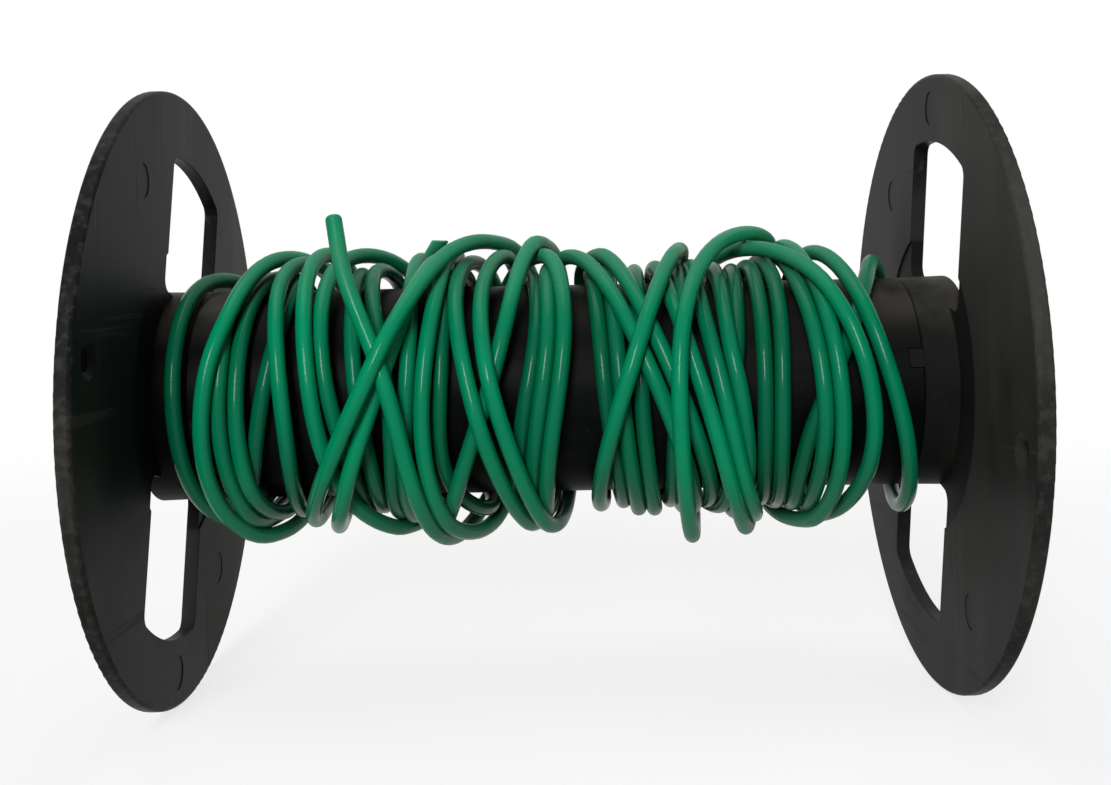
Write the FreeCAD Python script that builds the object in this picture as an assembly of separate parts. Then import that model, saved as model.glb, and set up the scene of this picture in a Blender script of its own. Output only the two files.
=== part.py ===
import FreeCAD, Part
import math
import os

# A wire spool: two moulded flanges joined by a barrel tube, with a loose winding of building wire.
# The arbor axis is X and the origin is the middle of the arbor bore. Z is up, and the near side
# of the spool faces -Y. Every size is in millimetres and every angle in degrees.

# Flanges, two copies of one moulding
flange_diameter = 165.0
flange_thickness = 3.9
traverse = 203.2  # between the inner faces of the flanges
rim_round = 0.9
edge_round = 0.35
right_flange_turn = 14.0  # the window's centre line from upright, towards the near side
left_flange_turn = 195.5

# Windows of a flange, on opposite sides of the hub
window_count = 2
window_width = 43.8
window_rim = 17.7  # the solid rim outside a window
window_cover = 3.7  # how far the hub reaches over the window's straight inner edge
window_corner = 3.3

# Shallow step round the hub on the flange's inner face
step_width = 12.5
step_depth = 0.5

# Hole for the wire's starting end, countersunk on the inner face
start_hole_play = 1.2  # how much wider than the wire it is
start_hole_flare = 3.6  # how much wider its mouth is
start_hole_countersink = 1.1
start_hole_inset = 9.9  # from the rim
start_hole_angle = 85.0  # from a window's centre line

# Round marks of the mould's ejector pins on the inner face
pin_mark_diameter = 9.0
pin_mark_depth = 0.2
pin_marks = [(135.0, 18.0), (315.0, 21.0), (353.0, 8.9)]  # angle and distance from the rim

# Hub, which stops the barrel tube and centres it on a spigot
arbor_bore_diameter = 45.0
bore_chamfer = 0.8
hub_flare = 0.8  # how much wider than the barrel its outer end is
hub_proud = 1.2  # beyond the flange's outer face
hub_reach = 8.1  # from the flange's inner face to the seam
spigot_wall = 2.75
spigot_reach = 16.0
spigot_lead = 1.0
spigot_clearance = 0.15  # between the spigot and the barrel tube

# Barrel tube
barrel_wall = 2.6
seam_gap = 0.2
seam_chamfer = 0.3

# Keys of the hub in notches of the tube, which stop it turning
key_count = 2
key_width = 4.7
key_length = 3.6
key_angle = 60.5  # from a window's centre line
key_clearance = 0.2

# Wire, a stranded conductor in an insulation
wire_diameter = 4.2
strand_diameter = 0.57
strand_pitch = 0.6
strand_rings = 2
end_bore_depth = 6.0  # how far the conductor is modelled inside a cut end
end_bore_clearance = 0.02

# Winding: from the inner end a short pass to the left on the barrel, a pass to the right over it, and
# a loose one back to the free end. The wire goes up the near side and down the far side.
loops = 24  # less what the two ends leave open
inner_end_angle = 63.2  # behind the top
free_end_angle = 80.0  # before the top
inner_end_place = -34.5  # along X
free_end_place = -45.5
left_inset = 9.0  # from the left flange to the turning back there
right_inset = 12.0
left_reversal = 3.75  # turns from the inner end
right_reversal = 15.25
reversal_turns = 0.5  # in which the wire turns back and climbs to the next pass
barrel_clearance = 0.3  # between the wire and the barrel
pass_clearance = 0.7  # between two passes
first_pass_lift = 0.5  # how far a turn stands off at most
second_pass_lift = 0.6
third_pass_lift = 3.6
least_lift = 0.35  # of the third pass's lift, where its turns lie closest
lift_turns = 3.4  # turns from one loose turn to the next
first_pass_lean = 3.0  # how far a turn leans along X
second_pass_lean = 4.5
third_pass_lean = 8.5
lean_turns = 6.2  # turns over which the lean changes from side to side and back
inner_end_run = 31.3  # straight runs at the two cut ends
free_end_run = 39.0
steps_per_turn = 4

# Sizes that follow
half_traverse = traverse / 2
flange_radius = flange_diameter / 2
window_outer_radius = flange_radius - window_rim
bore_radius = arbor_bore_diameter / 2
spigot_radius = bore_radius + spigot_wall
tube_bore_radius = spigot_radius + spigot_clearance
barrel_radius = tube_bore_radius + barrel_wall
hub_end_radius = barrel_radius + hub_flare / 2
hub_end = flange_thickness + hub_proud
window_spacing = 360.0 / window_count
key_spacing = 360.0 / key_count
wire_radius = wire_diameter / 2
start_hole_radius = wire_radius + start_hole_play / 2
conductor_radius = strand_rings * strand_pitch + strand_diameter / 2

# The winding's turns, where its passes begin and end, and each pass's radius, lift and lean
total_turns = loops - (inner_end_angle + free_end_angle) / 360
corners = [
    (0.0, inner_end_place),
    (left_reversal, left_inset - half_traverse),
    (right_reversal, half_traverse - right_inset),
    (total_turns, free_end_place),
]
first_radius = barrel_radius + barrel_clearance + wire_radius
second_radius = first_radius + first_pass_lift + wire_diameter + pass_clearance
third_radius = second_radius + second_pass_lift + wire_diameter + pass_clearance
radii = [first_radius, second_radius, third_radius]
lifts = [first_pass_lift, second_pass_lift, third_pass_lift]
leans = [first_pass_lean, second_pass_lean, third_pass_lean]

# Settings of the construction
ORIGIN = FreeCAD.Vector(0, 0, 0)
X_AXIS = FreeCAD.Vector(1, 0, 0)
Z_AXIS = FreeCAD.Vector(0, 0, 1)
OVERCUT = 1.0  # how far a cutter reaches past a face
TOLERANCE = 0.001
TURN_STEP = 0.0005  # in turns, for the direction of the wire
MEASURING_STEP = 2.0  # along the wire, for its least gap


def rod(radius, start, end):
    """A cylinder on the X axis between two places."""
    return Part.makeCylinder(radius, end - start, FreeCAD.Vector(start, 0, 0), X_AXIS)


def turned(shape, angle):
    """A copy turned about the arbor axis, from upright towards the near side."""
    copy = shape.copy()
    copy.rotate(ORIGIN, X_AXIS, angle)
    return copy


def edges_on_planes(shape, places, within=math.inf):
    """Edges that lie in one of the planes across X, nearer to the axis than a radius."""
    found = []
    for edge in shape.Edges:
        box = edge.BoundBox
        nearest = min(abs(box.XMin - place) for place in places)
        if box.XLength > TOLERANCE or nearest > TOLERANCE:
            continue
        middle = edge.valueAt((edge.FirstParameter + edge.LastParameter) / 2)
        if math.hypot(middle.y, middle.z) < within:
            found.append(edge)
    return found


def polar(angle, radius):
    """Y and Z of a point at an angle from upright towards the near side."""
    turn = math.radians(angle)
    return -radius * math.sin(turn), radius * math.cos(turn)


def window_prism():
    """The window on the upright centre line, with rounded corners, through both flange faces."""
    half = window_width / 2
    inner_edge = barrel_radius - window_cover
    side_top = math.sqrt(window_outer_radius ** 2 - half ** 2)
    low_left = FreeCAD.Vector(-OVERCUT, -half, inner_edge)
    low_right = FreeCAD.Vector(-OVERCUT, half, inner_edge)
    top_right = FreeCAD.Vector(-OVERCUT, half, side_top)
    top_left = FreeCAD.Vector(-OVERCUT, -half, side_top)
    top_middle = FreeCAD.Vector(-OVERCUT, 0, window_outer_radius)
    outline = Part.Wire([
        Part.makeLine(low_left, low_right),
        Part.makeLine(low_right, top_right),
        Part.Arc(top_right, top_middle, top_left).toShape(),
        Part.makeLine(top_left, low_left),
    ])
    prism = Part.Face(outline).extrude(X_AXIS * (flange_thickness + 2 * OVERCUT))
    corners = [edge for edge in prism.Edges if edge.BoundBox.XLength > flange_thickness]
    return prism.makeFillet(window_corner, corners)


def flange_disc():
    """The disc from its inner face at X = 0 to its outer face, with windows and rounded edges."""
    disc = rod(flange_radius, 0, flange_thickness)
    faces = [0, flange_thickness]
    disc = disc.makeFillet(rim_round, edges_on_planes(disc, faces))
    window = window_prism()
    for number in range(window_count):
        disc = disc.cut(turned(window, number * window_spacing))
    window_edges = edges_on_planes(disc, faces, within=flange_radius - window_rim / 2)
    return disc.makeFillet(edge_round, window_edges)


def start_hole_cutter():
    y, z = polar(start_hole_angle, flange_radius - start_hole_inset)
    hole = Part.makeCylinder(start_hole_radius, flange_thickness + 2 * OVERCUT,
                             FreeCAD.Vector(-OVERCUT, y, z), X_AXIS)
    mouth = Part.makeCone(start_hole_radius + start_hole_flare / 2, start_hole_radius,
                          start_hole_countersink, FreeCAD.Vector(0, y, z), X_AXIS)
    return hole.fuse(mouth)


def pin_mark_cutter(angle, inset):
    y, z = polar(angle, flange_radius - inset)
    return Part.makeCylinder(pin_mark_diameter / 2, pin_mark_depth + OVERCUT,
                             FreeCAD.Vector(-OVERCUT, y, z), X_AXIS)


def hub_ring():
    """The tapered ring that runs through the flange, from the seam to its proud outer end."""
    ring = Part.makeCone(barrel_radius, hub_end_radius, hub_reach + hub_end,
                         FreeCAD.Vector(-hub_reach, 0, 0), X_AXIS)
    ring = ring.makeChamfer(seam_chamfer, edges_on_planes(ring, [-hub_reach]))
    return ring.makeFillet(edge_round, edges_on_planes(ring, [hub_end]))


def spigot():
    """The part of the hub inside the tube, with a lead-in at its end."""
    end = -hub_reach - spigot_reach
    body = rod(spigot_radius, end, -hub_reach)
    return body.makeChamfer(spigot_lead, edges_on_planes(body, [end]))


def key_block(width, length, angle):
    """A block across the wall of the barrel, from the seam inwards."""
    corner = FreeCAD.Vector(-hub_reach - length, -width / 2, tube_bore_radius - OVERCUT)
    return turned(Part.makeBox(length, width, barrel_wall + 2 * OVERCUT, corner), angle)


def hub_keys():
    """The keys, as pieces of a sleeve from the bore to the barrel's surface."""
    sleeve = rod(barrel_radius, -hub_reach - key_length, -hub_reach)
    keys = []
    for number in range(key_count):
        block = key_block(key_width, key_length, key_angle + number * key_spacing)
        keys.append(sleeve.common(block))
    return keys


def flange_moulding():
    """The whole flange with its inner face at X = 0 and its hub's spigot towards -X."""
    body = flange_disc()
    body = body.cut(rod(barrel_radius + step_width, -OVERCUT, step_depth))
    body = body.cut(start_hole_cutter())
    for angle, inset in pin_marks:
        body = body.cut(pin_mark_cutter(angle, inset))
    for piece in [hub_ring(), spigot()] + hub_keys():
        body = body.fuse(piece)
    bore = rod(bore_radius, -hub_reach - spigot_reach - OVERCUT, hub_end + OVERCUT)
    bevel = Part.makeCone(bore_radius, bore_radius + 2 * bore_chamfer, 2 * bore_chamfer,
                          FreeCAD.Vector(hub_end - bore_chamfer, 0, 0), X_AXIS)
    return body.cut(bore.fuse(bevel)).removeSplitter()


def at_right(shape):
    """From the moulding's own frame to the right end of the spool."""
    placed = turned(shape, right_flange_turn)
    placed.translate(FreeCAD.Vector(half_traverse, 0, 0))
    return placed


def at_left(shape):
    """From the moulding's own frame to the left end, facing the other way."""
    placed = shape.copy()
    placed.rotate(ORIGIN, Z_AXIS, 180)
    placed = turned(placed, -left_flange_turn)
    placed.translate(FreeCAD.Vector(-half_traverse, 0, 0))
    return placed


def barrel_tube():
    """The tube between the two hubs, with a notch for each of their keys."""
    end = half_traverse - hub_reach - seam_gap
    tube = rod(barrel_radius, -end, end)
    tube = tube.makeChamfer(seam_chamfer, edges_on_planes(tube, [-end, end]))
    tube = tube.cut(rod(tube_bore_radius, -end - OVERCUT, end + OVERCUT))
    for number in range(key_count):
        notch = key_block(key_width + 2 * key_clearance, key_length + key_clearance,
                          key_angle + number * key_spacing)
        tube = tube.cut(at_right(notch))
        tube = tube.cut(at_left(notch))
    return tube


def smooth(share):
    """A share from 0 to 1 that starts and stops gently."""
    share = min(max(share, 0.0), 1.0)
    return share * share * (3 - 2 * share)


def travel(turn):
    """Place along X with no lean: straight from corner to corner, rounded off at the inner corners."""
    stretches = list(zip(corners, corners[1:]))
    slopes = [(there[1] - here[1]) / (there[0] - here[0]) for here, there in stretches]
    number = sum(turn > corner[0] for corner in corners[1:-1])
    place = corners[number][1] + slopes[number] * (turn - corners[number][0])
    for corner, before, after in zip(corners[1:-1], slopes, slopes[1:]):
        near = reversal_turns / 2 - abs(turn - corner[0])
        if near > 0:
            place += (after - before) * near ** 2 / (2 * reversal_turns)
    return place


def of_pass(turn, values):
    """A value that each pass has, climbing gently from one pass to the next."""
    value = values[0]
    for corner, before, after in zip(corners[1:-1], values, values[1:]):
        value += (after - before) * smooth((turn - corner[0]) / reversal_turns + 0.5)
    return value


def winding_point(turn):
    """A point of the centreline."""
    around = math.radians(90 + free_end_angle) - 2 * math.pi * (turn - total_turns)
    slack = 0.5 - 0.5 * math.cos(2 * math.pi * turn / lift_turns)
    oval = 0.5 - 0.5 * math.cos(2 * around)
    slacks = [slack, slack, oval * (least_lift + (1 - least_lift) * slack)]
    raised = [lift * share for lift, share in zip(lifts, slacks)]
    radius = of_pass(turn, radii) + of_pass(turn, raised)
    sway = math.sin(2 * math.pi * turn / lean_turns)
    x = travel(turn) + of_pass(turn, leans) * sway * math.sin(around)
    return FreeCAD.Vector(x, radius * math.cos(around), radius * math.sin(around))


def winding_direction(turn):
    ahead = winding_point(turn + TURN_STEP) - winding_point(turn - TURN_STEP)
    return ahead.normalize()


def arc_between(start, corner, end):
    """The arc that leaves start towards corner and reaches end along the line from corner."""
    half_chord = (end - start).Length / 2
    middle = (start + end) * 0.5
    half_turn = math.acos(half_chord / (corner - start).Length)
    sagitta = half_chord * math.tan(half_turn / 2)
    outward = (corner - middle).normalize()
    return Part.Arc(start, middle + outward * sagitta, end)


def biarc(start, start_way, end, end_way):
    """Two arcs that join tangentially, with equal tangent lengths."""
    chord = end - start
    a = 2 * (1 - start_way.dot(end_way))
    b = 2 * chord.dot(start_way + end_way)
    c = -chord.dot(chord)
    reach = (-b + math.sqrt(b * b - 4 * a * c)) / (2 * a)
    first_corner = start + start_way * reach
    second_corner = end - end_way * reach
    joint = (first_corner + second_corner) * 0.5
    return [arc_between(start, first_corner, joint), arc_between(joint, second_corner, end)]


def winding_arcs():
    """The turns of the centreline as tangent arcs, a pair to each step."""
    count = round(total_turns * steps_per_turn)
    turns = [number * total_turns / count for number in range(count + 1)]
    arcs = []
    for here, there in zip(turns, turns[1:]):
        arcs += biarc(winding_point(here), winding_direction(here),
                      winding_point(there), winding_direction(there))
    return arcs


def least_gap(path):
    """The least clear distance between stretches of the wire over a half turn apart."""
    points = path.discretize(Distance=MEASURING_STEP)
    apart = int(math.pi * first_radius / MEASURING_STEP)
    least = path.Length
    for number, point in enumerate(points):
        for other in points[number + apart:]:
            if abs(point.x - other.x) < least + wire_diameter:
                least = min(least, (point - other).Length - wire_diameter)
    return least


def wire_winding():
    """The insulation of the whole wire, as one swept tube, and where its two cut ends are."""
    arcs = winding_arcs()
    begin = winding_point(0)
    begin_way = winding_direction(0)
    finish = winding_point(total_turns)
    finish_way = winding_direction(total_turns)
    inner_tip = begin - begin_way * inner_end_run
    free_tip = finish + finish_way * free_end_run
    edges = [Part.makeLine(inner_tip, begin)]
    edges += [arc.toShape() for arc in arcs]
    edges.append(Part.makeLine(finish, free_tip))
    path = Part.Wire(edges)
    section = Part.Wire([Part.makeCircle(wire_radius, inner_tip, begin_way)])
    tube = path.makePipeShell([section], True, False)
    expected = math.pi * wire_radius ** 2 * path.Length
    print("winding length", round(path.Length), "volume over section times length",
          round(tube.Volume / expected, 5))
    tightest = min(edge.Curve.Radius for edge in edges[1:-1])
    print("tightest arc", round(tightest, 1), "least gap to itself", round(least_gap(path), 2))
    ends = [(inner_tip, begin_way), (free_tip, finish_way * -1)]
    for tip, way in ends:
        bore_size = conductor_radius + end_bore_clearance
        tube = tube.cut(Part.makeCylinder(bore_size, end_bore_depth, tip, way))
    return tube, ends


def conductor(tip, way):
    """The strands in a cut end: one in the middle and rings of six, twelve and so on round it."""
    centres = [(0.0, 0.0)]
    for ring in range(1, strand_rings + 1):
        for number in range(6 * ring):
            side, along = divmod(number, ring)
            corner = math.radians(60 * side)
            onward = math.radians(60 * side + 120)
            centres.append((strand_pitch * (ring * math.cos(corner) + along * math.cos(onward)),
                            strand_pitch * (ring * math.sin(corner) + along * math.sin(onward))))
    across = way.cross(X_AXIS).normalize()
    other = way.cross(across).normalize()
    strands = []
    for u, v in centres:
        base = tip + across * u + other * v
        strands.append(Part.makeCylinder(strand_diameter / 2, end_bore_depth, base, way))
    return Part.makeCompound(strands)


def write(name, shape):
    """Writes one piece and prints its count of solids, volume and box."""
    shape.exportStep(os.path.join("parts", name + ".step"))
    box = shape.BoundBox
    print(name, len(shape.Solids), "solids, valid", shape.isValid(), "volume", round(shape.Volume),
          "X", round(box.XMin, 1), round(box.XMax, 1), "Y", round(box.YMin, 1),
          round(box.YMax, 1), "Z", round(box.ZMin, 1), round(box.ZMax, 1))


os.makedirs("parts", exist_ok=True)
moulding = flange_moulding()
insulation, (inner_end, free_end) = wire_winding()
write("left_flange", at_left(moulding))
write("right_flange", at_right(moulding))
write("barrel_tube", barrel_tube())
write("wire_insulation", insulation)
write("inner_end_conductor", conductor(*inner_end))
write("free_end_conductor", conductor(*free_end))
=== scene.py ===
# %% [markdown]
# Wire spool, as a lesson in Blender
#
# The object is an empty looking reel for building wire: two black plastic flanges on a barrel tube,
# with some nine metres of green wire thrown round it in loose turns. The flanges and the tube come from
# the CAD model, which is loaded first and never changed. The wire is made here, because its looks are
# in the way it lies.

import math

import bpy
import numpy as np
from mathutils import Matrix, Vector


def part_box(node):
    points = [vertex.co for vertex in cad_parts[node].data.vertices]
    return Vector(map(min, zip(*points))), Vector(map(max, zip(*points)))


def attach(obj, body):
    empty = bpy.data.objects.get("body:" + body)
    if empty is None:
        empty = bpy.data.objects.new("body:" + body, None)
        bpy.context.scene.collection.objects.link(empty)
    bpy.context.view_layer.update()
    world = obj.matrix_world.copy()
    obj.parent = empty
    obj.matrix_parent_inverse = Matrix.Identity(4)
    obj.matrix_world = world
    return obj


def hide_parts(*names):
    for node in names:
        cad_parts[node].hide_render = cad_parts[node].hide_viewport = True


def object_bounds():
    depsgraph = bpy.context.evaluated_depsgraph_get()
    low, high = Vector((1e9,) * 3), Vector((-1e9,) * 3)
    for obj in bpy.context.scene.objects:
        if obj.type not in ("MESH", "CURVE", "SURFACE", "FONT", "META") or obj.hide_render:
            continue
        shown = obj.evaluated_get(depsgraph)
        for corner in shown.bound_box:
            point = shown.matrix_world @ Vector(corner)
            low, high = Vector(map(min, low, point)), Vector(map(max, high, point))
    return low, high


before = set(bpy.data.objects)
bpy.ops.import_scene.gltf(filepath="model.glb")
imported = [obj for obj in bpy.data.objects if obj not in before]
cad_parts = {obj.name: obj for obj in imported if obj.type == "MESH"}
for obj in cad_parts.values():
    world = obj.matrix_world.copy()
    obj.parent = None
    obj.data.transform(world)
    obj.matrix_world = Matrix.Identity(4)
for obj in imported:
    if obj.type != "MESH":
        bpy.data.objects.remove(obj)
cad_low, cad_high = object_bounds()
MM = 0.001

print("CAD nodes", sorted(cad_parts))
print("CAD box", [round(v, 4) for v in cad_low], [round(v, 4) for v in cad_high])

# %% [markdown]
# A few sizes are read from the frame, so that what is made here fits what was made there. The barrel
# tube's box gives its radius, and the whole box gives the floor, on which the spool stands with its two
# rims.

# %% Sizes from the frame
tube_low, tube_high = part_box("barrel_tube")
barrel_radius = (tube_high[2] - tube_low[2]) / 2
flange_radius = cad_high[2]
floor_level = cad_low[2]
wire_diameter = 4.2 * MM

print(f"barrel {barrel_radius * 2 / MM:.1f} mm, flange {flange_radius * 2 / MM:.1f} mm across")

# %% [markdown]
# The camera stands in front of the spool at arm's length, an inch above the axis, and leans by a
# degree. Its place and turn were found by fitting the outlines of both flanges. The picture is the
# lower part of a taller view, so the lens is shifted rather than tilted.

# %% Camera
picture_width = 1111
focal_pixels = 1282.1
centre_above = 105
camera_place = Vector((1.81, -351.38, 24.96)) * MM
camera_turn = [math.radians(a) for a in (90.395, 1.2305, 0.2033)]

camera_data = bpy.data.cameras.new("camera")
camera_data.sensor_width = 36
camera_data.lens = camera_data.sensor_width * focal_pixels / picture_width
camera_data.shift_y = -centre_above / picture_width
camera = bpy.data.objects.new("camera", camera_data)
camera.location = camera_place
camera.rotation_euler = camera_turn
bpy.context.collection.objects.link(camera)
bpy.context.scene.camera = camera
bpy.context.scene.view_settings.view_transform = "Standard"

print(f"lens {camera_data.lens:.1f} mm")

# %% [markdown]
# The wire is one length of stranded wire with two cut ends. One end stands up in front at the left, and
# the other peeps out at the top near the middle. Between them the wire goes round the barrel some forty
# times, always down the near side, and strays to the left and right as it goes.
#
# A wire like that could be drawn by hand as one long curve, but then it would cut through itself
# wherever it crosses. So each turn is only noted: where it is along the barrel at eight angles, and how
# far out it lies at the top, on the near side and at the bottom. The turns are listed as the wire runs
# from its free end, which was wound on last. The cells after this one lay the wire from these notes.

# %% Notes on the turns, in millimetres
# Angles go from the top (0) over the near side (90) to the bottom (180), and -30 is just behind the top.
NOTED_ANGLES = (-30, 0, 30, 60, 90, 120, 150, 180)
TURNS = [
    ((-54, -54, -54, -45.8, -40.0, -36.1, -31.3, -26.5), (60, 41, 41)),
    ((-8, -19.5, -28, -37.5, -48, -58.2, -64, -64.5), (38, 41, 33.5)),
    ((-26.5, -27.6, -28.5, -31, -33, -32.3, -28.5, -16), (34.5, 35.5, 37.5)),
    ((-18, -22.5, -26, -24, -20.7, -15.2, -9.5, -4.5), (33.5, 34, 34.5)),
    ((65.5, 52, 40, 32, 30.2, 31.4, 34.2, 37), (40, 41, 41.5)),
    ((44, 52.5, 62.8, 73.3, 77.8, 79, 75, 70), (36.3, 37, 33)),
    ((62.5, 64.5, 66.5, 68.8, 70.5, 71.2, 69, 64), (33, 36, 34.5)),
    ((58.5, 61, 63, 65.3, 66.7, 66.8, 66.3, 68), (32, 33.5, 31)),
    ((68, 70.5, 74.5, 79.4, 84, 88.6, 91.2, 92), (36, 34, 34)),
    ((93.5, 86.8, 82.2, 75.6, 68, 62.8, 62, 64), (33, 31, 30.5)),
    ((37.5, 36, 30, 23.3, 16.4, 11.6, 10.8, 12.5), (37.5, 38, 31.5)),
    ((-10, -14, -17.8, -18.3, -15.3, -9.3, -4, 0.5), (33, 35, 34)),
    ((3, -4, -8.5, -12.4, -16.8, -23.2, -28.4, -31), (36.5, 33, 33.5)),
    ((-30, -31, -32.6, -38.5, -44.3, -51.8, -57, -59), (34.5, 36, 35)),
    ((-63, -72.8, -78, -83, -87, -87.5, -84.5, -75), (37.5, 35, 35)),
    ((-83.5, -90.8, -94.5, -95.5, -95.5, -94, -91.5, -82), (32, 31, 34)),
    ((-78, -79.5, -81.5, -83.3, -84.3, -83.2, -80.3, -76), (32, 31, 33)),
    ((-62, -68, -70.7, -69.6, -67.3, -67, -68, -68.5), (35.5, 35.5, 30.6)),
    ((-73, -75, -78, -79, -79.5, -78.8, -75, -72), (31.5, 31, 31)),
    ((-70, -69.5, -68.4, -70.2, -73.9, -76, -80.5, -83.5), (31, 31, 31)),
    ((-57, -61, -63.6, -62, -59.8, -57.2, -48.6, -39), (38.5, 36, 34.5)),
    ((-13, -5, 1.2, 2.7, 0.7, -2.5, -2.8, -2.4), (34.5, 33, 31)),
    ((-2, 4.5, 11.3, 18.8, 26.4, 32.5, 36.3, 37), (35, 35, 31.5)),
    ((27.5, 27.8, 28.5, 31.9, 36.9, 42.3, 48.6, 54), (32, 34, 36)),
    ((57, 57.3, 58, 57.5, 56.6, 56.8, 57.8, 60), (31.5, 31.5, 31)),
    ((38.5, 37.8, 37, 38.6, 41.9, 46.4, 50.6, 51), (31.5, 33.5, 33.5)),
    ((53.2, 53.2, 53, 52.8, 52.5, 52.8, 53.8, 55.5), (31.5, 31.5, 31)),
    ((43.8, 43.7, 43.2, 44.3, 45, 47, 48, 46.5), (31.5, 32.5, 31)),
    ((49.5, 48.8, 47.6, 45.8, 44.6, 45, 44.6, 42.5), (31, 31, 31)),
    ((8, 12, 17.5, 24, 31.5, 37.2, 40.8, 38), (35, 34.5, 31)),
    ((33.8, 33.5, 33, 32, 30.8, 29.7, 30.2, 31), (31.5, 31.5, 31)),
    ((22.5, 22.3, 22, 21.6, 21.5, 22.8, 25.2, 26.8), (31.5, 31, 32)),
    ((14, 14.5, 14.8, 15.6, 16.4, 18.2, 20.7, 22.3), (32, 31.5, 33.5)),
    ((9.8, 10.2, 10.8, 11.7, 12.8, 14.8, 17.8, 18), (31, 31, 31)),
    ((2.5, -0.8, -2, -1.5, -3.6, -6.2, -6.4, -6.8), (31.5, 32, 31)),
    ((-8.5, -6.5, -3.8, -3.4, -7.2, -9.4, -10.4, -11.2), (30.5, 31, 31)),
    ((-35, -36, -36.7, -35.7, -37.2, -38.3, -39, -38.2), (35, 34, 31.5)),
    ((-40.5, -53.5, -58, -58.7, -56.5, -52, -50.6, -51), (37, 33, 31.5)),
    ((-43, -48, -47.3, -44.5, -41.1, -41, -42.8, -42.5), (33, 32.5, 31.5)),
    ((-52, -52, -51.8, -50.8, -49.5, -46.9, -46.4, -46.7), (32, 33, 31)),
    ((-23, -25, -27.3, -28.3, -28.3, -29.7, -24.8, -14), (32, 31, 32.5)),
]

print(len(TURNS), "turns noted")

# %% [markdown]
# The wire is followed in even steps of nine degrees. Between the notes it takes the easiest way, as a
# springy line does. A push on a springy line is felt for some steps to both sides, and a short row of
# weights says how much. Going over the line with those weights evens it out. Doing that again and
# again, with a pull back to the notes each time, ends at the line that stays near the notes and bends
# least.
#
# Nothing is noted behind the barrel, where the wire finds its own way from one turn to the next. Four
# turns would be seen below the barrel on that way, so they are kept where they are until they are well
# behind it.

# %% The easiest line through the notes
STEPS = 40
STEP_ANGLE = 360 / STEPS
tip_angle = 36
tip_places = ((36, -54), (45, -56))
end_angle = -18
end_places = ((-81, -36), (-63, -38.5), (-45, -39.5), (-36, -38.5), (-27, -36.5), (-18, -32.8))
# Two more angles and places for each of the four turns, which are counted from 0.
kept_behind = {
    1: ((198, -66), (216, -66)),
    3: ((198, -1.5), (216, 2)),
    8: ((198, 94), (216, 95.5)),
    10: ((198, 13), (216, 13)),
}
note_stiffness = 0.5
note_stretch = 0.02
note_rounds = 3000
reach = 15

first_step = round(tip_angle / STEP_ANGLE)
last_step = len(TURNS) * STEPS + round(end_angle / STEP_ANGLE)
steps = np.arange(first_step, last_step + 1)
angles = steps * STEP_ANGLE
count = len(steps)


def noted_places():
    """How strongly each step is held by a note, and the notes' places along the barrel times that."""
    held, wanted = np.zeros(count), np.zeros(count)
    notes = list(tip_places)
    for turn, (places, _) in enumerate(TURNS):
        notes += [(360 * turn + angle, place) for angle, place in zip(NOTED_ANGLES, places)
                  if 360 * turn + angle > tip_angle]
    for turn, places in kept_behind.items():
        notes += [(360 * turn + angle, place) for angle, place in places]
    notes += [(360 * len(TURNS) + angle, place) for angle, place in end_places]
    for angle, place in notes:
        at = angle / STEP_ANGLE - first_step
        before = math.floor(at)
        for step, share in ((before, before + 1 - at), (before + 1, at - before)):
            if share > 0:
                held[step] += share
                wanted[step] += share * place
    return held, wanted


def evening(stiffness, stretch=0.0):
    """The weights with which a springy line feels a push on one of its steps."""
    steps_near = np.eye(2 * reach + 1)
    bends, runs = np.diff(steps_near, n=2, axis=0), np.diff(steps_near, axis=0)
    felt = np.linalg.inv(steps_near + stiffness * bends.T @ bends + stretch * runs.T @ runs)[reach]
    return felt / felt.sum()


def evened(line, weights):
    """The line evened out once. It goes on straight past both its ends."""
    away = np.arange(reach, 0, -1)
    before = line[0] + (line[0] - line[1]) * away
    after = line[-1] + (line[-1] - line[-2]) * away[::-1]
    return np.convolve(np.concatenate([before, line, after]), weights, "valid")


def easiest_line():
    """The wire's places along the barrel, where it stays near the notes and bends least."""
    held, wanted = noted_places()
    share = np.minimum(held, 1)
    line = np.interp(steps, steps[held > 0], wanted[held > 0] / held[held > 0])
    target = line.copy()
    weights = evening(note_stiffness, note_stretch)
    for _ in range(note_rounds):
        line = evened(line + share * (target - line), weights)
    return line


noted_line = easiest_line()
print(f"{count} steps of {STEP_ANGLE:.0f} degrees")

# %% [markdown]
# How far out each turn wants to lie is noted at the top, the near side and the bottom. Behind, the
# turns lie close to the barrel. The inner end bends outwards as it comes up. The free end leaves the
# winding on a straight line, as springy wire does, so there the distance from the axis grows as one
# over the cosine of the angle from where it leaves.

# %% How far out the wire wants to lie
# The first three angles go with the three distances of a turn, and the fourth is behind the barrel.
distance_angles = (0, 90, 160, 262)
behind_radius = 31.0
end_radii = ((-72, 31.5), (-54, 32.5), (-36, 34.5), (-27, 37.6), (-18, 42.0))
leaving_angle = 80
leaving_radius = 40.3


def wanted_radii():
    """The wire's wanted distances from the axis."""
    notes = []
    for turn, (_, distances) in enumerate(TURNS):
        stations = zip(distance_angles, (*distances, behind_radius))
        notes += [(360 * turn + angle, radius) for angle, radius in stations]
    notes += [(360 * len(TURNS) + angle, radius) for angle, radius in end_radii]
    return np.interp(angles, *zip(*notes))


free = angles < leaving_angle
wanted = wanted_radii()
wanted[free] = leaving_radius / np.cos(np.radians(leaving_angle - angles[free]))

print(f"the free end's tip is {wanted[0]:.1f} mm from the axis")

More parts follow.
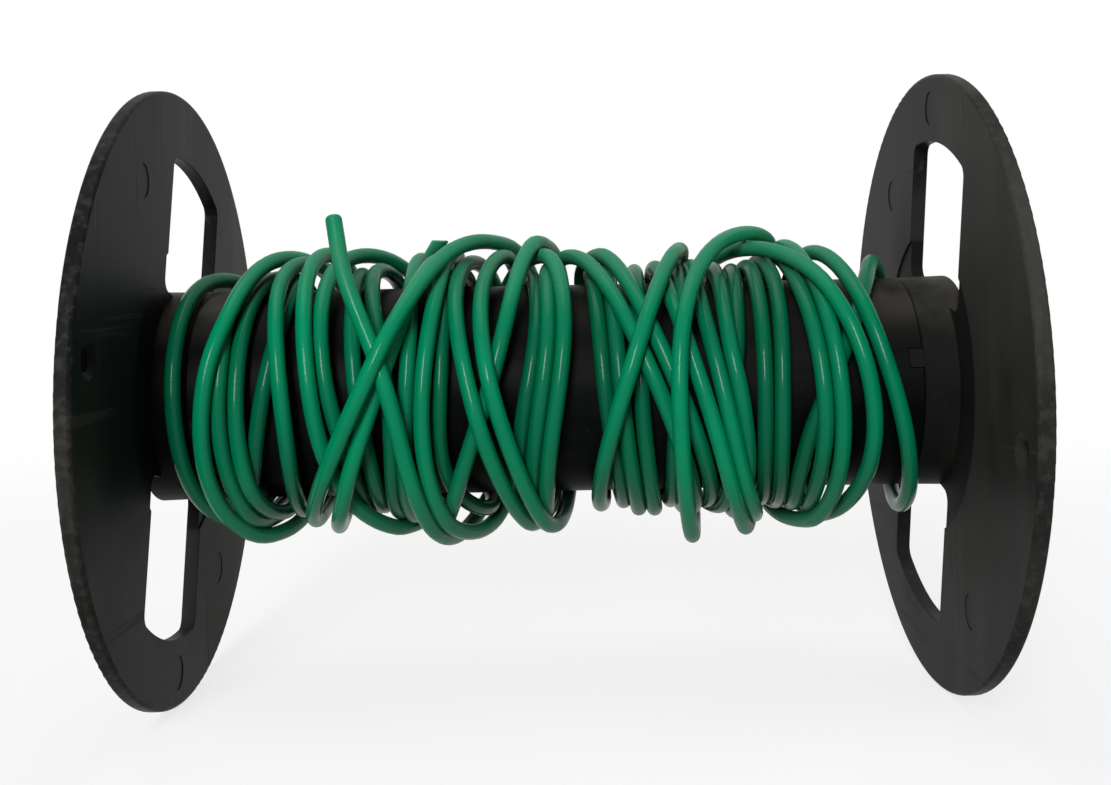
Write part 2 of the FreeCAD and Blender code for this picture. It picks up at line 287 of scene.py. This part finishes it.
# %% [markdown]
# Now the turns are laid on each other. All steps at one angle lie in one plane through the axis, where
# the wire shows as some forty round spots. A spot that was wound on later lies outside an earlier one.
# Two pieces are out of order: the inner end was pulled out to the top last, and the free end is tucked
# in under the turn that follows it. So first each plane's spots are listed, and each pair of them is
# put in order.

# %% Spots in planes, and their order
tucked_under = 62
pulled_out = 4
same_stretch = 0.4 * STEPS
never_laid = 1e9


def spots_by_plane():
    """The steps in each plane, in rows that are filled up with -1."""
    planes = [np.nonzero(steps % STEPS == plane)[0] for plane in range(STEPS)]
    table = np.full((STEPS, max(len(row) for row in planes)), -1)
    for row, found in zip(table, planes):
        row[:len(found)] = found
    return table


def laid_before():
    """For each pair of spots in a plane, whether the second was laid before the first."""
    order = steps.astype(float)
    order[steps > len(TURNS) * STEPS - pulled_out] = -1
    order[steps < STEPS / 2] += tucked_under
    rank = np.where(used, order[table], never_laid)
    return used[:, :, None] & used[:, None, :] & (rank[:, None, :] > rank[:, :, None] + same_stretch)


table = spots_by_plane()
used = table >= 0
below = laid_before()

print(f"{len(table)} planes with up to {table.shape[1]} spots, {below.sum()} pairs in order")

# %% [markdown]
# The wire is held to its notes on the near side, where it is seen, and is let go behind the barrel.
# Both ends are held more firmly than the rest.

# %% How firmly the wire is held
towards_wanted = 0.04
towards_notes = 0.10
firmly = 0.5
hold_angles = (0, 135, 165, 195, 310, 330, 360)
hold_shares = (1, 1, 0.4, 0, 0, 0.5, 1)
kept_from = 150
end_steps_held, end_steps_pulled = 6, 5


def holds():
    """For each step, how firmly its place is held and how firmly its distance from the axis."""
    hold = towards_notes * np.interp(angles % 360, hold_angles, hold_shares)
    pull = np.full(count, towards_wanted)
    hold[free] = pull[free] = firmly
    hold[-end_steps_held:] = pull[-end_steps_pulled:] = firmly
    for turn, places in kept_behind.items():
        kept_to = places[-1][0]
        hold[(angles > 360 * turn + kept_from) & (angles <= 360 * turn + kept_to)] = towards_notes
    return hold, pull


hold, pull = holds()

print(f"{(hold > 0).sum()} of {count} steps are held to their places")

# %% [markdown]
# Touching spots stand a wire's diameter apart. The loop below pulls every spot towards where it wants
# to be, evens out the line, slides neighbours apart that run the same way, and lifts the later one of
# each pair clear. In its last rounds it only lifts. After some hundred rounds the wire lies as if it
# had been wound by hand.

# %% Lay the turns on each other
clearance = 0.25
across = wire_diameter / MM
lowest = barrel_radius / MM + across / 2 + clearance
settling_rounds = 500
lifting_rounds = 60
radius_stiffness = 1.5
place_stiffness = 0.4
place_stretch = 0.01
sideways = 0.0525
largest_slide = 0.3
same_way = 1.5
near_by = 0.3
right_above = 0.1
# What fills up a plane's row stands far aside, where it touches nothing.
aside = 1e6 + 1e3 * np.arange(table.shape[1])


def differences(values):
    """Each spot's value less each other spot's in its plane."""
    return values[:, :, None] - values[:, None, :]


def slides(place, radius, gap, over):
    """How far each spot slides along the barrel, away from the spots beside it that run the same way."""
    lean = np.where(used, np.gradient(place)[table], 0)
    alike = np.abs(differences(lean)) < same_way
    apart = np.hypot(gap, differences(np.where(used, radius[table], 0)))
    beside = over & alike & (apart < across + near_by) & (np.abs(gap) > right_above * across)
    push = np.where(beside, sideways * np.sign(gap) * (across - np.abs(gap)), 0)
    slide = push.sum(axis=2) - push.sum(axis=1)
    return np.clip(slide[used], -largest_slide, largest_slide)


def least_radii(radius, gap, over):
    """How far out each step has to lie, so that it clears the barrel and what was laid before it."""
    height = np.where(used, radius[table], 0)
    rise = np.sqrt(np.maximum(across ** 2 - gap ** 2, 0))
    needed = np.where(over, height[:, None, :] + rise, lowest).max(axis=2)
    least = np.full(count, lowest)
    least[table[used]] = needed[used]
    return least


def settle(place, radius):
    """Settles the wire's places along the barrel and its distances from the axis."""
    even_radius, even_place = evening(radius_stiffness), evening(place_stiffness, place_stretch)
    for turn in range(settling_rounds):
        sliding = turn < settling_rounds - lifting_rounds
        radius = evened(radius + pull * (wanted - radius), even_radius)
        if sliding:
            place = evened(place + hold * (noted_line - place), even_place)
        gap = differences(np.where(used, place[table], aside))
        over = below & (np.abs(gap) < across)
        if sliding:
            place[table[used]] += slides(place, radius, gap, over)
        radius = np.maximum(radius, least_radii(radius, gap, over))
    return place, radius


places, radii = settle(noted_line.copy(), wanted.copy())
turned = np.radians(angles)
wire_points = np.stack([places, -radii * np.sin(turned), radii * np.cos(turned)], axis=1) * MM
largest_move = np.abs(places - noted_line).max()

print(f"the winding reaches {radii[~free].max():.1f} mm from the axis, and moved {largest_move:.1f}")

# %% [markdown]
# Two small helpers come first, because an operator acts on all that is selected: one selects nothing,
# the other only the pieces that it is given.

# %% Helpers for selecting
def deselect():
    if bpy.context.object and bpy.context.object.mode != "OBJECT":
        bpy.ops.object.mode_set(mode="OBJECT")
    bpy.ops.object.select_all(action="DESELECT")


def only(*chosen):
    deselect()
    for piece in chosen:
        piece.select_set(True)
    bpy.context.view_layer.objects.active = chosen[0]


deselect()
print(len(bpy.context.selected_objects), "objects selected")

# %% [markdown]
# The settled points become the control points of one NURBS curve, and its bevel gives the wire its
# thickness. The order and the end points are set after the points are there, because otherwise the
# curve stays straight between its points. The curve is then made a mesh, so that its finished faces can
# be shaded smooth and the flat caps at both its ends keep their sharp edge.

# %% The wire
def smooth_curve(name, points, thickness):
    """A round cord whose middle runs smoothly past the given points."""
    curve = bpy.data.curves.new(name, "CURVE")
    curve.dimensions = "3D"
    spline = curve.splines.new("NURBS")
    spline.points.add(len(points) - 1)
    for point, place in zip(spline.points, points):
        point.co = (*place, 1)
    spline.order_u = 3
    spline.use_endpoint_u = True
    spline.resolution_u = 2
    curve.bevel_depth = thickness / 2
    curve.bevel_resolution = 6
    curve.use_fill_caps = True
    piece = bpy.data.objects.new(name, curve)
    bpy.context.collection.objects.link(piece)
    return piece


def centreline(piece):
    """The points down the middle of a curve, as Blender draws it."""
    bare = bpy.data.objects.new("bare", piece.data.copy())
    bare.data.bevel_depth = 0
    mesh = bpy.data.meshes.new_from_object(bare)
    line = [v.co.copy() for v in mesh.vertices]
    bpy.data.meshes.remove(mesh)
    bpy.data.curves.remove(bare.data)
    return line


wire = smooth_curve("wire", wire_points, wire_diameter)
wire_line = centreline(wire)
only(wire)
bpy.ops.object.convert(target="MESH")
bpy.ops.object.shade_smooth_by_angle(angle=math.radians(60))
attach(wire, "root")
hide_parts("wire_insulation")

# %% [markdown]
# At both ends the jacket is cut through and shows the copper: nineteen strands in a bundle. Each end is
# modelled upright at the origin and is then stood on the wire. The inner end was cut at a slant, which
# leaves its cut face nearly level. At the free end a blunt cutter has pressed the jacket in over the
# strands, so that end is drawn in along a quarter of an ellipse.

# %% Helpers for the ends
def apply_modifiers(piece):
    """Applies a piece's modifiers from the first to the last."""
    only(piece)
    for modifier in list(piece.modifiers):
        bpy.ops.object.modifier_apply(modifier=modifier.name)


def stand_on(piece, place, way):
    """Turns a piece that was modelled upright at the origin along the wire, with its place in its mesh."""
    only(piece)
    piece.matrix_world = Matrix.Translation(place) @ way.to_track_quat("Z", "Y").to_matrix().to_4x4()
    bpy.ops.object.transform_apply(location=True, rotation=True, scale=True)


def slanted(piece, slant):
    """Leans the far end of a piece that stands upright, as a cutter does that was held askew."""
    for vertex in piece.data.vertices:
        if vertex.co.z > 0:
            vertex.co.z += slant * (wire_diameter / 2 - vertex.co.y)


def ringed(piece, length, rings):
    """Cuts a tube through at even heights, so that it can be drawn in smoothly."""
    only(piece)
    bpy.ops.object.mode_set(mode="EDIT")
    for ring in range(1, rings):
        bpy.ops.mesh.select_all(action="SELECT")
        bpy.ops.mesh.bisect(plane_co=(0, 0, length * ring / rings), plane_no=(0, 0, 1))
    bpy.ops.object.mode_set(mode="OBJECT")


def drawn_in(piece, length, closing):
    """Closes the far end of an upright piece round its axis."""
    for vertex in piece.data.vertices:
        along = min(max(vertex.co.z / length, 0), 1)
        share = 1 - closing * (1 - math.sqrt(1 - along ** 2))
        vertex.co.x *= share
        vertex.co.y *= share


print("helpers for the ends ready")

# %% [markdown]
# A short lip of jacket goes on past the cap of the wire. It is an open cylinder, which Solidify gives
# its wall and Bevel its rounded edges. The lip that is drawn in is first cut through at a few heights.

# %% Jacket lip
jacket_wall = 0.58 * MM
lip_rounding = 0.12 * MM
lip_overlap = 0.4 * MM
lip_sides = 32
lip_rings = 8


def jacket_lip(name, length, slant, closing):
    """A ring of jacket that goes on past the cap of the wire."""
    deselect()
    depth = length + lip_overlap
    bpy.ops.mesh.primitive_cylinder_add(
        vertices=lip_sides, radius=wire_diameter / 2, depth=depth, end_fill_type="NOTHING",
        location=(0, 0, depth / 2 - lip_overlap))
    lip = bpy.context.object
    lip.name = name
    bpy.ops.object.transform_apply(location=True)
    slanted(lip, slant)
    if closing:
        ringed(lip, length, lip_rings)
    wall = lip.modifiers.new("wall", "SOLIDIFY")
    wall.thickness, wall.offset = jacket_wall, -1
    rounding = lip.modifiers.new("rounding", "BEVEL")
    rounding.width, rounding.segments = lip_rounding, 2
    apply_modifiers(lip)
    drawn_in(lip, length, closing)
    bpy.ops.object.shade_smooth_by_angle(angle=math.radians(40))
    return lip


print(f"jacket wall {jacket_wall / MM:.2f} mm")

# %% [markdown]
# One strand is a slim cylinder with a bevelled rim. Six stand round the middle one and twelve round
# those, and together they are one piece. They end just inside the lip.

# %% Bundle of strands
strand_diameter = 0.57 * MM
strand_pitch = 0.6 * MM
strand_rings = 2
strand_sides = 12
strand_rounding = 0.06 * MM
strand_inset = 0.15 * MM


def strand_centres():
    """The middle strand's centre, and those of the rings round it."""
    centres = [(0, 0)]
    for ring in range(1, strand_rings + 1):
        for number in range(6 * ring):
            turn = math.tau * number / (6 * ring)
            centres.append((strand_pitch * ring * math.cos(turn), strand_pitch * ring * math.sin(turn)))
    return centres


def strand_bundle(name, length, slant, closing):
    """All strands of one end as one piece, standing upright at the origin."""
    deselect()
    depth = length + lip_overlap - strand_inset
    strands = []
    for x, y in strand_centres():
        bpy.ops.mesh.primitive_cylinder_add(
            vertices=strand_sides, radius=strand_diameter / 2, depth=depth,
            location=(x, y, depth / 2 - lip_overlap))
        rounding = bpy.context.object.modifiers.new("rounding", "BEVEL")
        rounding.width, rounding.segments = strand_rounding, 1
        rounding.angle_limit = math.radians(45)
        apply_modifiers(bpy.context.object)
        strands.append(bpy.context.object)
    only(*strands)
    bpy.ops.object.join()
    bundle = bpy.context.object
    bundle.name = name
    bpy.ops.object.transform_apply(location=True)
    slanted(bundle, slant)
    drawn_in(bundle, length, closing)
    bpy.ops.object.shade_smooth_by_angle(angle=math.radians(30))
    return bundle


print(len(strand_centres()), "strands in a bundle")

# %% [markdown]
# Both ends are now made and stood on the wire.

# %% Cut ends
free_lip_length = 1.3 * MM
free_end_closing = 0.42
inner_lip_length = 0.9 * MM
inner_end_slant = 1.4


def cut_end(side, tip, before, node, length, slant=0.0, closing=0.0):
    """Both pieces of one cut end, standing on the wire's tip."""
    way = (tip - before).normalized()
    lip = jacket_lip(side + "_jacket_lip", length, slant, closing)
    bundle = strand_bundle(side + "_strands", length, slant, closing)
    for piece, material in ((lip, "wire_jacket"), (bundle, "copper_strands")):
        stand_on(piece, tip, way)
        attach(piece, "root")
    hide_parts(node)
    return lip, bundle


free_lip, free_strands = cut_end("free_end", wire_line[0], wire_line[1], "free_end_conductor",
                                 free_lip_length, closing=free_end_closing)
inner_lip, inner_strands = cut_end("inner_end", wire_line[-1], wire_line[-2], "inner_end_conductor",
                                   inner_lip_length, slant=inner_end_slant)
end_pieces = [free_lip, free_strands, inner_lip, inner_strands]

for piece in end_pieces:
    print(piece.name, len(piece.data.polygons), "faces")

# %% [markdown]
# Nothing on this spool is one flat colour. The materials are mixed from soft masks, each made by one
# noise texture on the object's own coordinates, so that dust and scuffs stay where they are when the
# spool turns. A small helper class keeps the nodes of one material together.

# %% Helpers for materials
class Finish:
    """One material, with short names for the nodes that build it."""

    def __init__(self, name):
        self.material = bpy.data.materials.new(name)
        self.material.use_nodes = True
        self.nodes = self.material.node_tree.nodes
        self.links = self.material.node_tree.links
        self.shader = self.nodes["Principled BSDF"]
        self.place = self.nodes.new("ShaderNodeTexCoord").outputs["Object"]

    def join(self, value, socket):
        """Links a socket, or sets it where the value is a plain number or colour."""
        if isinstance(value, bpy.types.NodeSocket):
            self.links.new(value, socket)
        else:
            socket.default_value = value

    def noise(self, scale, detail, stretch=(1, 1, 1), turn=(0, 0, 0)):
        """Soft lumps of a size, drawn out where the stretch is small."""
        mapping = self.nodes.new("ShaderNodeMapping")
        mapping.inputs["Scale"].default_value = stretch
        mapping.inputs["Rotation"].default_value = [math.radians(a) for a in turn]
        texture = self.nodes.new("ShaderNodeTexNoise")
        texture.inputs["Scale"].default_value = scale
        texture.inputs["Detail"].default_value = detail
        texture.inputs["Roughness"].default_value = 0.55
        self.links.new(self.place, mapping.inputs["Vector"])
        self.links.new(mapping.outputs["Vector"], texture.inputs["Vector"])
        return texture.outputs["Fac"]

    def fade(self, value, start, end, low=0.0, high=1.0):
        """A soft step of value, from low at start to high at end."""
        node = self.nodes.new("ShaderNodeMapRange")
        node.interpolation_type = "SMOOTHSTEP"
        self.join(value, node.inputs["Value"])
        for name, number in (("From Min", start), ("From Max", end), ("To Min", low), ("To Max", high)):
            self.join(number, node.inputs[name])
        return node.outputs["Result"]

    def math(self, operation, first, second):
        """One step of reckoning with two numbers, by the name that Blender gives it."""
        node = self.nodes.new("ShaderNodeMath")
        node.operation = operation
        self.join(first, node.inputs[0])
        self.join(second, node.inputs[1])
        return node.outputs["Value"]

    def mix(self, first, second, share):
        """The first colour where the share is nothing, the second where it is one."""
        node = self.nodes.new("ShaderNodeMix")
        node.data_type = "RGBA"
        self.join(share, node.inputs[0])
        self.join(first, node.inputs[6])
        self.join(second, node.inputs[7])
        return node.outputs[2]

    def axis(self, name):
        """How far a point is along one axis."""
        node = self.nodes.new("ShaderNodeSeparateXYZ")
        self.links.new(self.place, node.inputs["Vector"])
        return node.outputs[name]

    def from_axis(self):
        """How far a point is from the spool's axis."""
        y, z = self.axis("Y"), self.axis("Z")
        squares = self.math("ADD", self.math("MULTIPLY", y, y), self.math("MULTIPLY", z, z))
        return self.math("SQRT", squares, 0)

    def bump(self, height, depth, strength, below=None):
        """Small dents as deep as the depth, in metres, on top of those below."""
        node = self.nodes.new("ShaderNodeBump")
        node.inputs["Strength"].default_value = strength
        node.inputs["Distance"].default_value = depth
        self.join(height, node.inputs["Height"])
        if below:
            self.links.new(below, node.inputs["Normal"])
        return node.outputs["Normal"]

    def finish(self, colour, roughness, normal=None, **plain):
        """Joins all to the shader. What is the same all over is set on its own socket."""
        self.join(colour, self.shader.inputs["Base Color"])
        self.join(roughness, self.shader.inputs["Roughness"])
        if normal:
            self.links.new(normal, self.shader.inputs["Normal"])
        for name, number in plain.items():
            self.shader.inputs[name.replace("_", " ")].default_value = number
        return self.material


def paint(piece, material):
    """Gives a piece one material in all its slots."""
    piece.data.materials.clear()
    piece.data.materials.append(material)


print("helpers ready")

# %% [markdown]
# The flanges are moulded in black plastic that has gone grey with handling. Close by one sees fine
# grain, pale dust that lies in clouds and streaks, thin scratches in all directions, and a rim that is
# rubbed lighter. Near the hub, behind the turns, the colour is darkened almost to black as painted shade
# in the ring round the hub, and the hub's upper side is paler in patches.

# %% Flange plastic
# JET is the barrel's own black; on the flanges it is also the painted shade near the hub.
JET = (0.0018, 0.0023, 0.0024, 1)
BLACK = (0.0072, 0.0082, 0.0082, 1)
GREYED = (0.034, 0.0345, 0.0315, 1)
DUST = (0.078, 0.072, 0.058, 1)
WORN = (0.070, 0.062, 0.054, 1)
rubbed_rim = (flange_radius - 2.2 * MM, flange_radius - 0.3 * MM)
edge_of_painted_shade = (40 * MM, 41.5 * MM)
edge_of_hub = (28.5 * MM, 29.5 * MM)
upper_side = (12 * MM, 25 * MM)


def flange_plastic():
    f = Finish("flange_plastic")
    clouds = f.fade(f.noise(11, detail=8), 0.42, 0.66)
    streaks = f.fade(f.noise(26, detail=7, stretch=(1, 1, 0.12)), 0.50, 0.72)
    specks = f.fade(f.noise(1500, detail=2), 0.70, 0.78)
    scratches = f.fade(f.noise(170, detail=3, stretch=(1, 0.05, 1), turn=(32, 0, 0)), 0.63, 0.70)
    crossing = f.fade(f.noise(210, detail=3, stretch=(1, 1, 0.04), turn=(-21, 0, 0)), 0.64, 0.71)
    lines = f.math("MAXIMUM", scratches, crossing)
    rim = f.fade(f.from_axis(), *rubbed_rim)
    rubbed = f.math("MULTIPLY", rim, f.fade(f.noise(420, detail=5), 0.46, 0.66))
    colour = f.mix(BLACK, GREYED, clouds)
    colour = f.mix(colour, DUST, f.math("MULTIPLY", streaks, 0.26))
    colour = f.mix(colour, DUST, f.math("MULTIPLY", lines, 0.20))
    colour = f.mix(colour, DUST, f.math("MULTIPLY", specks, 0.40))
    colour = f.mix(colour, WORN, f.math("MULTIPLY", rubbed, 0.30))
    # Painted shade: near the hub, behind the turns, the colour is darkened almost to black.
    colour = f.mix(JET, colour, f.fade(f.from_axis(), *edge_of_painted_shade, low=0.25))
    # The hub's upper side is made paler in patches.
    on_hub = f.fade(f.from_axis(), *edge_of_hub, low=1.0, high=0.0)
    pale_on_top = f.math("MULTIPLY", on_hub, f.fade(f.axis("Z"), *upper_side))
    pale_on_top = f.math("MULTIPLY", pale_on_top, f.fade(f.noise(40, detail=8), 0.28, 0.60))
    colour = f.mix(colour, DUST, f.math("MULTIPLY", pale_on_top, 0.75))
    roughness = f.fade(clouds, 0, 1, 0.42, 0.60)
    roughness = f.math("ADD", roughness, f.math("MULTIPLY", lines, 0.12))
    grain = f.bump(f.noise(2600, detail=2), 0.04 * MM, 0.5)
    normal = f.bump(lines, -0.06 * MM, 0.6, below=grain)
    return f.finish(colour, roughness, normal, Specular_IOR_Level=0.025)


flange_finish = flange_plastic()
for side in ("left_flange", "right_flange"):
    paint(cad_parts[side], flange_finish)

print("flanges painted")

# %% [markdown]
# The barrel tube is the same black, but extruded, so it is a little smoother and shows fine lines along
# its length. Its upper side is paler in patches, most of all near the flanges, where no turn covers it.

# %% Barrel plastic
edge_of_turns = (70 * MM, 92 * MM)


def barrel_plastic():
    f = Finish("barrel_plastic")
    up = f.fade(f.axis("Z"), *upper_side)
    bare = f.fade(f.math("ABSOLUTE", f.axis("X"), 0), *edge_of_turns, low=0.2)
    # The upper side is made paler in patches, most near the flanges.
    pale_on_top = f.math("MULTIPLY", f.math("MULTIPLY", up, bare), f.fade(f.noise(30, detail=8), 0.30, 0.62))
    smears = f.fade(f.noise(22, detail=7, stretch=(0.25, 1, 1)), 0.52, 0.70)
    drawn = f.noise(900, detail=3, stretch=(0.01, 1, 1))
    specks = f.fade(f.noise(1300, detail=2), 0.70, 0.78)
    colour = f.mix(JET, GREYED, f.math("MULTIPLY", smears, 0.2))
    colour = f.mix(colour, DUST, f.math("MULTIPLY", pale_on_top, 0.60))
    colour = f.mix(colour, DUST, f.math("MULTIPLY", specks, 0.3))
    roughness = f.fade(smears, 0, 1, 0.40, 0.55)
    normal = f.bump(drawn, 0.03 * MM, 0.5)
    return f.finish(colour, roughness, normal, Specular_IOR_Level=0.02)


paint(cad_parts["barrel_tube"], barrel_plastic())

print("barrel painted")

# %% [markdown]
# The wire has a clear skin over green insulation, which gives it a wet look where it is clean. Where
# the turns are touched least, at the top and the bottom, they are a greyish green and rougher: partly
# dust, partly a painted reflection of light grazing the turns. Under the skin the colour is not quite even
# along the wire. Towards the barrel it is darkened, which also darkens each turn's sides: painted shade
# where little light gets in between the turns.

# %% Wire jacket
GREEN = (0.0, 0.235, 0.105, 1)
DEEP_GREEN = (0.0, 0.165, 0.075, 1)
SHADED_GREEN = (0.0, 0.060, 0.027, 1)
# A greyish green: partly dust, partly a painted reflection of light grazing the turns.
DUST_AND_SHEEN_GREEN = (0.085, 0.180, 0.115, 1)
dust_and_sheen_top = (20 * MM, 37 * MM)
dust_and_sheen_bottom = (-12 * MM, -46 * MM)
painted_shade_from_barrel = (29 * MM, 41 * MM)


def wire_jacket():
    f = Finish("wire_jacket")
    height = f.axis("Z")
    uneven = f.fade(f.noise(18, detail=4), 0.38, 0.64)
    upper = f.fade(height, *dust_and_sheen_top)
    lower = f.fade(height, *dust_and_sheen_bottom)
    patchy = f.fade(f.noise(60, detail=7), 0.30, 0.66, 0.35, 1.0)
    dust_and_sheen = f.math("MULTIPLY", f.math("MAXIMUM", upper, lower), patchy)
    specks = f.fade(f.noise(1700, detail=2), 0.69, 0.77)
    rubbed = f.fade(f.noise(240, detail=5), 0.60, 0.72)
    colour = f.mix(GREEN, DEEP_GREEN, f.math("MULTIPLY", uneven, 0.6))
    # Painted shade: darker towards the barrel and at each turn's sides.
    colour = f.mix(SHADED_GREEN, colour, f.fade(f.from_axis(), *painted_shade_from_barrel))
    # Top and bottom: partly dust, partly a painted reflection of grazing light.
    colour = f.mix(colour, DUST_AND_SHEEN_GREEN, f.math("MULTIPLY", dust_and_sheen, 0.27))
    colour = f.mix(colour, DUST, f.math("MULTIPLY", specks, 0.25))
    dullness = f.math("MAXIMUM", dust_and_sheen, f.math("MULTIPLY", rubbed, 0.5))
    roughness = f.fade(dullness, 0, 1, 0.17, 0.50)
    normal = f.bump(f.noise(700, detail=3), 0.05 * MM, 0.3)
    return f.finish(colour, roughness, normal, Specular_IOR_Level=0.09)


jacket = wire_jacket()
for piece in (wire, free_lip, inner_lip):
    paint(piece, jacket)

print("wire painted")

# %% [markdown]
# The cut copper has dulled to brown, with brighter marks from the cutter.

# %% Copper strands
COPPER = (0.50, 0.22, 0.12, 1)
TARNISH = (0.12, 0.055, 0.035, 1)


def copper_strands():
    f = Finish("copper_strands")
    tarnish = f.fade(f.noise(1400, detail=4), 0.35, 0.62)
    colour = f.mix(COPPER, TARNISH, tarnish)
    roughness = f.fade(tarnish, 0, 1, 0.32, 0.62)
    normal = f.bump(f.noise(5200, detail=2, stretch=(1, 0.2, 1)), 0.03 * MM, 0.5)
    return f.finish(colour, roughness, normal, Metallic=1.0)


copper = copper_strands()
for piece in (free_strands, inner_strands):
    paint(piece, copper)

print("copper painted")

# %% [markdown]
# The stage is a pale floor under plain studio light: a soft lamp in front, weaker ones above, behind
# and at both sides, and a faint world that fills the shadows. To the camera, in mirrors and through
# glass the world is white, and the floor fades into it. The floor throws little light back up, so that
# the shadows under the turns stay deep. The lamps behind and at the sides don't show in the gloss, or
# the flanges' inner faces would shine at a low angle.

# %% Floor and light
WHITE = (1, 1, 1, 1)
FLOOR = (0.84, 0.84, 0.83, 1)
FLOOR_BOUNCE = (0.30, 0.30, 0.30, 1)
floor_size = 2.4
floor_fade = (0.2, 0.8)
floor_glow = 0.75


def seen(nodes, links):
    """One for rays from the camera, in mirrors and through glass, and nothing for the object's light."""
    ray = nodes.new("ShaderNodeLightPath")
    total = ray.outputs["Is Camera Ray"]
    for kind in ("Is Glossy Ray", "Is Transmission Ray"):
        adder = nodes.new("ShaderNodeMath")
        adder.use_clamp = True
        links.new(total, adder.inputs[0])
        links.new(ray.outputs[kind], adder.inputs[1])
        total = adder.outputs["Value"]
    return total


def mixed(nodes, links, first, second, share):
    """The first shader where the share is nothing, the second where it is one."""
    mixer = nodes.new("ShaderNodeMixShader")
    links.new(share, mixer.inputs["Fac"])
    links.new(first, mixer.inputs[1])
    links.new(second, mixer.inputs[2])
    return mixer.outputs["Shader"]


def floor_finish():
    """A pale floor that fades into the white round it."""
    f = Finish("floor")
    directly = seen(f.nodes, f.links)
    material = f.finish(f.mix(FLOOR_BOUNCE, FLOOR, directly), 0.9, Specular_IOR_Level=0.2)
    glow = f.nodes.new("ShaderNodeEmission")
    glow.inputs["Color"].default_value = WHITE
    clear = f.nodes.new("ShaderNodeBsdfTransparent")
    x, y = f.axis("X"), f.axis("Y")
    far = f.math("SQRT", f.math("ADD", f.math("MULTIPLY", x, x), f.math("MULTIPLY", y, y)), 0)
    pale = mixed(f.nodes, f.links, f.shader.outputs["BSDF"], glow.outputs["Emission"],
                 f.math("MULTIPLY", directly, floor_glow))
    faded = mixed(f.nodes, f.links, pale, clear.outputs["BSDF"], f.fade(far, *floor_fade))
    f.links.new(faded, f.nodes["Material Output"].inputs["Surface"])
    return material


def lay_floor():
    deselect()
    bpy.ops.mesh.primitive_plane_add(size=floor_size, location=(0, 0, floor_level))
    floor = bpy.context.object
    floor.name = "floor"
    bpy.ops.object.transform_apply(location=True)
    paint(floor, floor_finish())


def soft_lamp(name, place, width, height, power, mirrored=True):
    """A lamp with a broad pane that faces the spool."""
    lamp = bpy.data.lights.new(name, "AREA")
    lamp.shape = "RECTANGLE"
    lamp.size, lamp.size_y, lamp.energy = width, height, power
    stand = bpy.data.objects.new(name, lamp)
    stand.location = place
    stand.rotation_euler = (-Vector(place)).to_track_quat("-Z", "Y").to_euler()
    stand.visible_glossy = mirrored
    bpy.context.collection.objects.link(stand)


def light_world(strength):
    """A white world that lights the object only as much as the strength says."""
    world = bpy.data.worlds.new("studio")
    world.use_nodes = True
    bpy.context.scene.world = world
    nodes, links = world.node_tree.nodes, world.node_tree.links
    lit = nodes["Background"]
    lit.inputs["Color"].default_value = WHITE
    lit.inputs["Strength"].default_value = strength
    shown = nodes.new("ShaderNodeBackground")
    shown.inputs["Color"].default_value = WHITE
    shown.inputs["Strength"].default_value = 1
    both = mixed(nodes, links, lit.outputs["Background"], shown.outputs["Background"], seen(nodes, links))
    links.new(both, nodes["World Output"].inputs["Surface"])


lay_floor()
soft_lamp("front_lamp", (-0.20, -1.1, 0.42), 0.25, 0.5, 13)
soft_lamp("top_lamp", (-0.15, -0.1, 1.1), 0.9, 0.7, 4)
soft_lamp("back_lamp", (0.15, 1.15, 0.25), 0.6, 0.5, 8, mirrored=False)
soft_lamp("left_lamp", (-1.05, 0.1, 0.05), 0.5, 0.5, 4, mirrored=False)
soft_lamp("right_lamp", (1.05, 0.1, 0.05), 0.5, 0.5, 4, mirrored=False)
light_world(0.10)

print("stage set")
